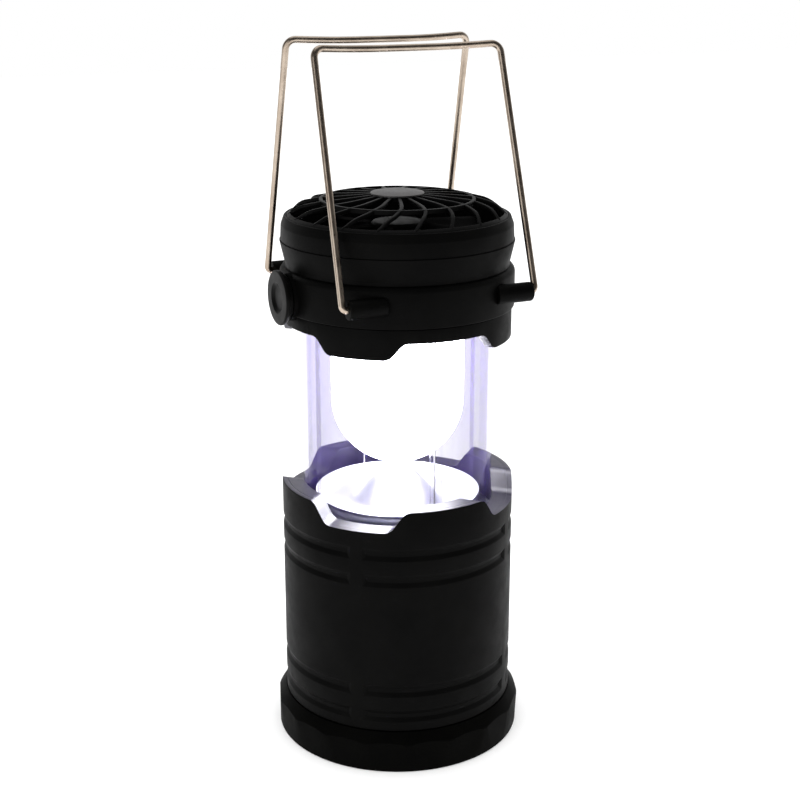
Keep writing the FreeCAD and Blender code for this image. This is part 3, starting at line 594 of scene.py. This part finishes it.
def make_head():
    radius, low, top = span("head_collar")
    edge = low + TAB_DEPTH
    seam = edge + 5.1
    skirt = radius - 0.9
    bore = radius - 3.5
    ring = lathe("head_ring", [
        (bore, low - 1), (skirt, low - 1), (skirt, seam - 0.3), (skirt - 0.35, seam - 0.3),
        (skirt - 0.35, seam), (radius, seam, 0.5), (radius, top, 2.2), (bore, top),
    ])
    gaps = lathe("skirt_gaps", [(bore - 4, low - 3), (radius + 3, low - 3), (radius + 3, edge),
                                (bore - 4, edge)], COARSE)
    wide = TAB_ROOT + CASTLE_ROUND
    root = edge + CUT_CLEAR
    tab = board("tab_tool", [
        (-TAB_FOOT, low, CASTLE_ROUND), (TAB_FOOT, low, CASTLE_ROUND), (TAB_ROOT, root, CASTLE_ROUND),
        (wide, root), (wide, edge + 2), (-wide, edge + 2), (-wide, root), (-TAB_ROOT, root, CASTLE_ROUND),
    ], TOOL_START, radius + 4 - TOOL_START, ARC_STEPS)
    carve(gaps, repeat(tab, CORNERS))
    carve(ring, gaps)
    soften(ring, 0.6, 60, 3)

    pivot = Vector(joint("front_bail_swing")["pos_m"]) / MM
    seat_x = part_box("head_collar")[0].x / MM
    knob_level = joint("knob_turn")["pos_m"][2] / MM
    carve(ring, rod("seat", 8.4, (-bore - 1, 0, knob_level), (seat_x, 0, knob_level), 72), "UNION")
    for side_x in (-1, 1):
        for side_y in (-1, 1):
            y = side_y * abs(pivot.y)
            boss = rod("boss", 3.4, (side_x * 21, y, pivot.z), (side_x * 34.8, y, pivot.z))
            soften(boss, 0.5, 60, 3)
            carve(ring, boss, "UNION")
            hole = rod("hole", 1.25, (side_x * 27, y, pivot.z), (side_x * 36, y, pivot.z), 32)
            carve(ring, hole)
    bore_tool = rod("bore", 2.4, (-bore + 3, 0, knob_level), (seat_x - 2, 0, knob_level))
    carve(ring, bore_tool)
    finish_piece(ring, housing_black, "head", ["head_collar"])
    # The tabs' undersides, which face the chamber, take the black copy with painted lamp light.
    ring.data.materials.append(lamp_lit_black)
    open_mesh(ring)
    pick_faces(ring, lambda middle, normal: middle.z / MM < edge + 1 and normal.z < -0.15)
    ring.active_material_index = 1
    bpy.ops.object.material_slot_assign()
    close_mesh()


def joint(name):
    return next(row for row in frame["joints"] if row["name"] == name)


def make_shroud():
    radius, low, top = span("fan_shroud")
    waist = 40.4
    bottom = span("head_collar")[2]
    inner = 38.3
    shroud = lathe("fan_shroud_band", [
        (37.15, low), (38.75, low), (38.75, bottom), (waist, bottom, 0.2), (waist, bottom + 1.2, 1.0),
        (radius, top, 0.25), (inner + 1.2, top), (inner + 1.2, top - 2), (inner, top - 2),
        (inner, bottom + 1.5), (37.15, bottom + 1.5),
    ])
    finish_piece(shroud, housing_black, "head", ["fan_shroud"])


def make_bezel():
    radius, low, top = span("guard_bezel")
    lip = radius - 1.4
    seam = low + 2
    bezel = lathe("top_bezel", [
        (38.3, low), (39.45, low), (39.45, seam), (radius, seam, 0.25),
        (radius - 0.3, top - 3.0, 2.0), (lip, top, 0.4), (lip - 1, top, 0.3),
        (lip - 1, top - 2), (38.3, top - 2),
    ])
    finish_piece(bezel, housing_black, "head", ["guard_bezel"])


# ---------------------------------------------------------------- guard and fan

HUB_RADIUS = 9.2
RING_RADIUS = 27.2
SPOKES = 19
SPOKE_START = -91.5


def crown_line():
    """The dome's level over the bezel's top, for each radius."""
    radius, low, top = span("fan_guard")
    rim_level = low + 2
    corners = [(0, top), (HUB_RADIUS, top), (RING_RADIUS, rim_level + 5.8, 9.0),
               (radius - 4.6, rim_level + 4.0, 9.0),
               (radius, rim_level), (0, rim_level)]
    return rounded(corners, 8)[:-1]


def crown_level(radius):
    points = crown_line()
    for before, after in zip(points[:-1], points[1:]):
        if before.x <= radius <= after.x:
            share = (radius - before.x) / max(after.x - before.x, 1e-6)
            return before.y + (after.y - before.y) * share
    return points[-1].y


def spoke_turn(radius):
    """How far a spoke has swept by this radius, in degrees."""
    return -0.0344 * max(radius - 18, 0) ** 2


def make_spoke(inner, outer, width, depth):
    """Flat-sided bar that follows the dome and sweeps back as it goes out."""
    cuts = 22
    clear_choice()
    bpy.ops.mesh.primitive_cube_add(size=1, location=((inner + outer) / 2 * MM, 0, 0),
                                    scale=((outer - inner) * MM, width * MM, depth * MM))
    spoke = bpy.context.active_object
    settle(spoke)
    open_mesh(spoke)
    pick_faces(spoke, lambda middle, normal: abs(normal.x) < 0.5)
    bpy.ops.mesh.select_mode(type="EDGE")
    bpy.ops.mesh.select_all(action="DESELECT")
    mesh = bmesh.from_edit_mesh(spoke.data)
    for edge in mesh.edges:
        along = edge.verts[0].co - edge.verts[1].co
        edge.select_set(abs(along.x) > abs(along.y) + abs(along.z))
    bmesh.update_edit_mesh(spoke.data)
    bpy.ops.mesh.subdivide(number_cuts=cuts)
    for step in range(cuts + 2):
        radius = inner + (outer - inner) * step / (cuts + 1)
        near = radius * MM
        pick_points(spoke, lambda co: abs(math.hypot(co.x, co.y) - near) < 0.3 * MM
                    and abs(co.y) < 2 * MM and abs(co.z) < depth * MM)
        lean = math.degrees(math.atan(-0.0344 * 2 * max(radius - 18, 0) * math.pi / 180 * radius))
        turn(lean, "Z", (near, 0, 0))
        bpy.ops.transform.translate(value=(0, 0, crown_level(radius) * MM - depth * MM / 2))
        turn(spoke_turn(radius))
    close_skin()
    return spoke


def make_guard():
    radius, low, top = span("fan_guard")
    rim = lathe("guard_rim", [
        (radius - 1.4, low), (radius, low), (radius, low + 2.0, 0.2),
        (radius - 1.4, crown_level(radius - 1.4), 0.2),
    ])
    level = crown_level(RING_RADIUS)
    ring = lathe("guard_ring", [
        (RING_RADIUS - 0.65, level - 1.5), (RING_RADIUS + 0.65, level - 1.55),
        (RING_RADIUS + 0.65, level - 0.02, 0.3), (RING_RADIUS - 0.65, level + 0.02, 0.3),
    ], COARSE)
    plate = lathe("guard_plate", [
        (0, top - 1.6), (HUB_RADIUS, top - 1.6), (HUB_RADIUS, top), (0, top),
    ], COARSE)
    spoke = make_spoke(HUB_RADIUS - 0.8, radius - 0.8, 1.3, 1.4)
    soften(spoke, 0.3, 40, 2)
    spokes = repeat(spoke, [SPOKE_START + 360 * i / SPOKES for i in range(SPOKES)])
    guard = join([rim, ring, plate, spokes])
    guard.name = "domed_guard"
    finish_piece(guard, guard_black, "head", ["fan_guard"], 40)


def make_hub_disc():
    radius, low, top = span("hub_cap")
    disc = lathe("hub_disc", [
        (0, low), (radius, low), (radius, low + 0.5, 0.2), (radius * 0.6, top, 18.0), (0, top),
    ], COARSE, 8)
    finish_piece(disc, disc_satin, "head", ["hub_cap"], 40)


def make_fan():
    radius, low, top = span("fan_impeller")
    hub_radius = 9.5
    hub = lathe("fan_hub", [
        (0, low + 1), (3, low + 1), (3, top - 1.5), (8, top - 1.5), (8, low), (hub_radius, low),
        (hub_radius, top, 1.2), (0, top),
    ], COARSE)
    clear_choice()
    reach = radius - hub_radius + 0.8
    centre = (hub_radius - 0.8 + reach / 2, 0, (low + top) / 2)
    bpy.ops.mesh.primitive_cube_add(size=1, location=Vector(centre) * MM,
                                    scale=(reach * MM, 15 * MM, 1.2 * MM))
    blade = bpy.context.active_object
    settle(blade)
    open_mesh(blade)
    bpy.ops.mesh.select_all(action="SELECT")
    bpy.ops.mesh.subdivide(number_cuts=9)
    steps = 11
    for step in range(steps):
        near = (hub_radius - 0.8 + reach * step / (steps - 1)) * MM
        pick_points(blade, lambda co: abs(co.x - near) < 0.4 * MM)
        share = step / (steps - 1)
        turn(46 - 16 * share, "X", (near, 0, centre[2] * MM))
    close_skin()
    sweep = lathe("fan_sweep", [(5, low + 0.4), (radius, low + 0.4), (radius, top - 0.4), (5, top - 0.4)],
                  COARSE)
    carve(blade, sweep, "INTERSECT")
    soften(blade, 0.35, 40, 2)
    blades = repeat(blade, [360 * i / 7 for i in range(7)])
    fan = join([hub, blades])
    fan.name = "seven_blade_fan"
    finish_piece(fan, fan_black, "fan", ["fan_impeller"], 40)


# ---------------------------------------------------------------- knob and bails

def make_knob():
    low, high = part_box("control_knob")
    seat = -high.x / MM
    face = -low.x / MM
    level = (low.z + high.z) / 2
    knob = lathe("speed_knob", [
        (0, seat), (8.3, seat, 0.2), (8.3, seat + 1.6), (9.7, seat + 1.6, 0.3), (9.7, face, 0.55),
        (5.6, face, 0.4), (4.2, face - 1.0, 1.4), (0, face - 1.0),
    ], COARSE, 6)
    open_mesh(knob)
    bpy.ops.mesh.select_all(action="SELECT")
    turn(-90, "Y")
    bpy.ops.transform.translate(value=(0, 0, level))
    close_mesh()
    finish_piece(knob, knob_black, "knob", ["control_knob"], 40)


WIRE = 1.2
BAIL_LENGTH = 87.3
BAIL_FOOT = 36.6
BAIL_TOP = 35.0
BAIL_STUB = 26.8
BAIL_BOW = 3.0
BOW_PLACE = 17.5
FRONT_LEAN = 17.5
BACK_LEAN = 13.5


def bent_wire(name, corners, bends):
    """Round wire: straight pulls joined by bends, along corners in millimetres."""
    points = [Vector(corner) for corner in corners]
    clear_choice()
    bpy.ops.mesh.primitive_circle_add(vertices=28, radius=WIRE * MM, fill_type="NGON",
                                      location=points[0] * MM)
    wire = bpy.context.active_object
    wire.name = name
    wire.rotation_mode = "QUATERNION"
    wire.rotation_quaternion = (points[1] - points[0]).to_track_quat("Z", "Y")
    settle(wire)
    open_mesh(wire)
    bpy.ops.mesh.select_all(action="SELECT")
    here = points[0]
    for before, corner, after, bend in zip(points[:-2], points[1:-1], points[2:], bends):
        back = (before - corner).normalized()
        ahead = (after - corner).normalized()
        half = back.angle(ahead) / 2
        start = corner + back * (bend / math.tan(half))
        bpy.ops.mesh.extrude_region_move(TRANSFORM_OT_translate={"value": (start - here) * MM})
        centre = corner + (back + ahead).normalized() * (bend / math.sin(half))
        axis = ahead.cross(-back).normalized()
        bpy.ops.mesh.spin(steps=10, angle=math.pi - 2 * half, center=centre * MM, axis=axis)
        here = corner + ahead * (bend / math.tan(half))
    bpy.ops.mesh.extrude_region_move(TRANSFORM_OT_translate={"value": (points[-1] - here) * MM})
    close_skin()
    soften(wire, 0.3, 60, 2)
    return wire


def make_bail(name, node, body, side, lean):
    """Bail in its own upright plane, then leaned in to where it rests."""
    pivot = Vector(joint(body + "_swing")["pos_m"]) / MM
    half = [(BAIL_STUB, 0, 0), (BAIL_FOOT, 0, 0), (BAIL_TOP, 0, BAIL_LENGTH),
            (BOW_PLACE, -side * BAIL_BOW, BAIL_LENGTH)]
    corners = half + [(-x, y, z) for x, y, z in reversed(half)]
    bends = [1.75, 3.4, 110, 110, 3.4, 1.75]
    wire = bent_wire(name, corners, bends)
    open_mesh(wire)
    bpy.ops.mesh.select_all(action="SELECT")
    turn(side * lean, "X")
    bpy.ops.transform.translate(value=pivot * MM)
    close_mesh()
    finish_piece(wire, wire_nickel, body, [node], 50)


# ---------------------------------------------------------------- inner pieces

INNER_FINISHES = {
    "cap_gasket": seal_black, "battery_tray": inner_grey, "tray_screws": screw_zinc,
    "battery_cells": cell_sleeve, "contact_plates": contact_nickel, "contact_springs": contact_nickel,
    "contact_rails": contact_nickel, "contact_strips": contact_nickel, "contact_sliders": contact_nickel,
    "deck": deck_white, "deck_screws": screw_zinc, "heat_plate": plate_aluminium,
    "led_board": board_white, "led_chips": chip_glow, "motor_cradle": inner_grey,
    "cradle_screws": screw_zinc, "fan_motor": motor_steel, "motor_shaft": screw_zinc,
    "dimmer": dimmer_blue, "knob_shaft": screw_zinc,
}


def finish_inner_pieces():
    for node, material in INNER_FINISHES.items():
        piece = frame["nodes"][node]
        for slot in piece.material_slots:
            slot.material = material


make_base_shell()
make_rim_collar()
make_battery_cap()
make_chamber()
make_chamber_foot()
make_reflector()
make_diffuser()
make_head()
make_shroud()
make_bezel()
make_guard()
make_hub_disc()
make_fan()
make_knob()
make_bail("front_wire_bail", "handle_front", "front_bail", -1, FRONT_LEAN)
make_bail("back_wire_bail", "handle_back", "back_bail", 1, BACK_LEAN)
finish_inner_pieces()


# ---------------------------------------------------------------- studio

def make_floor():
    clear_choice()
    bpy.ops.mesh.primitive_plane_add(size=6, location=(0, 0, 0))
    floor = bpy.context.active_object
    floor.name = "studio_floor"
    material, tree, shader = blank("floor_white")
    tint = ramp(tree, noise(tree, 3, 2), [(0.3, (0.90, 0.90, 0.90)), (0.7, (0.93, 0.93, 0.93))])
    tree.links.new(tint.outputs["Color"], shader.inputs["Base Color"])
    shader.inputs["Roughness"].default_value = 0.9
    shader.inputs["Specular IOR Level"].default_value = 0.0
    floor.data.materials.append(material)


def add_light(name, place, aim, size, power, colour=(1, 1, 1)):
    light = bpy.data.lights.new(name, "AREA")
    light.size = size
    light.energy = power
    light.color = colour
    lamp = bpy.data.objects.new(name, light)
    lamp.location = place
    lamp.rotation_euler = (Vector(aim) - Vector(place)).to_track_quat("-Z", "Y").to_euler()
    bpy.context.collection.objects.link(lamp)


def make_sky():
    """White surroundings; reflections see them dim on the camera's side."""
    world = bpy.data.worlds.new("studio_sky")
    bpy.context.scene.world = world
    world.use_nodes = True
    world.cycles.sampling_method = "NONE"
    tree = world.node_tree
    white = tree.nodes["Background"]
    white.inputs["Color"].default_value = (1, 1, 1, 1)
    white.inputs["Strength"].default_value = 1.0
    fill = add(tree, "ShaderNodeBackground", Strength=FLOOR_FILL)
    fill.inputs["Color"].default_value = (1, 1, 1, 1)
    sheen = add(tree, "ShaderNodeBackground", Strength=1.0)
    sheen.inputs["Color"].default_value = (1, 1, 1, 1)
    place = add(tree, "ShaderNodeTexCoord")
    along = add(tree, "ShaderNodeVectorMath", {"operation": "DOT_PRODUCT"})
    along.inputs[1].default_value = SIGHT
    tree.links.new(place.outputs["Generated"], along.inputs[0])
    fade = add(tree, "ShaderNodeMapRange", {"interpolation_type": "SMOOTHSTEP"},
               From_Min=-0.3, From_Max=0.9, To_Min=0.05, To_Max=0.9)
    tree.links.new(along.outputs["Value"], fade.inputs["Value"])
    tree.links.new(fade.outputs["Result"], sheen.inputs["Strength"])
    path = add(tree, "ShaderNodeLightPath")
    unseen = add(tree, "ShaderNodeMixShader")
    tree.links.new(path.outputs["Is Diffuse Ray"], unseen.inputs["Fac"])
    tree.links.new(sheen.outputs["Background"], unseen.inputs[1])
    tree.links.new(fill.outputs["Background"], unseen.inputs[2])
    mix = add(tree, "ShaderNodeMixShader")
    tree.links.new(path.outputs["Is Camera Ray"], mix.inputs["Fac"])
    tree.links.new(unseen.outputs["Shader"], mix.inputs[1])
    tree.links.new(white.outputs["Background"], mix.inputs[2])
    tree.links.new(mix.outputs["Shader"], tree.nodes["World Output"].inputs["Surface"])


def make_camera():
    camera = bpy.data.cameras.new("studio_camera")
    camera.lens = 67.6
    camera.sensor_width = 36
    camera.clip_start = 0.01
    eye = bpy.data.objects.new("studio_camera", camera)
    eye.location = EYE
    eye.rotation_euler = SIGHT.to_track_quat("-Z", "Y").to_euler()
    bpy.context.collection.objects.link(eye)
    bpy.context.scene.camera = eye


VIEW_TURN = math.radians(25)
VIEW_DROP = math.radians(16.91)
SIGHT = Vector((math.sin(VIEW_TURN) * math.cos(VIEW_DROP), math.cos(VIEW_TURN) * math.cos(VIEW_DROP),
                -math.sin(VIEW_DROP)))
EYE = Vector((-0.2238, -0.4822, 0.2899))
FLOOR_FILL = 1.5

make_camera()
make_floor()
make_sky()
add_light("top_softbox", (0.1, 0.25, 1.3), (0, 0.05, 0.1), 1.0, 3)
add_light("left_strip", (-1.1, -0.55, 0.45), (0, 0, 0.15), 0.7, 2.4)
bpy.context.scene.view_settings.view_transform = "Standard"
